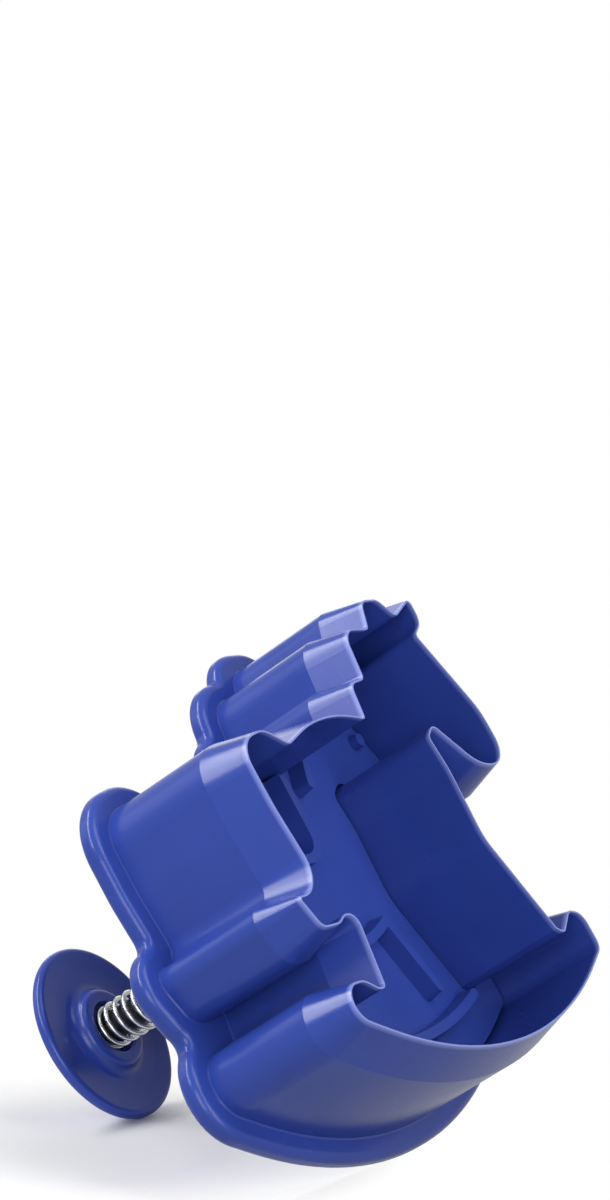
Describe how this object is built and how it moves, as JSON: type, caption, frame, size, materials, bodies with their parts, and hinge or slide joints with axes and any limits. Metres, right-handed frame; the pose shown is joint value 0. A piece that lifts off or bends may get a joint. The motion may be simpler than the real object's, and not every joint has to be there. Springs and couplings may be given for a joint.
{
  "type": "plunger cutter",
  "caption": "Blue plastic plunger cutter in the figure of a rocking horse, with a sprung push knob and a stamp plate that prints the mane, saddle and rocker.",
  "frame": {"origin": "in the plane of the cutting edge, under the middle of the bounding box", "axes": "+Z along the plunger axis from the cutting edge to the push knob, +Y towards the horse's back and -X towards its muzzle"},
  "size_m": [0.0779, 0.0742, 0.0614],
  "materials": {
    "blue_plastic": "satin",
    "spring_steel": "bright drawn wire",
    "stem_steel": "plain drawn rod"
  },
  "bodies": {
    "cutter": {"cutter_shell": "blue_plastic", "return_spring": "spring_steel"},
    "plunger": {"stamp_plate": "blue_plastic", "plunger_stem": "stem_steel", "push_knob": "blue_plastic"}
  },
  "joints": [
    {"name": "plunger_slide", "type": "slide", "parent": "cutter", "child": "plunger", "axis": [0, 0, -1], "range_m": [0, 0.0141], "stiffness_N_per_m": 350, "springref_m": -0.005, "deforming": ["return_spring"]}
  ]
}
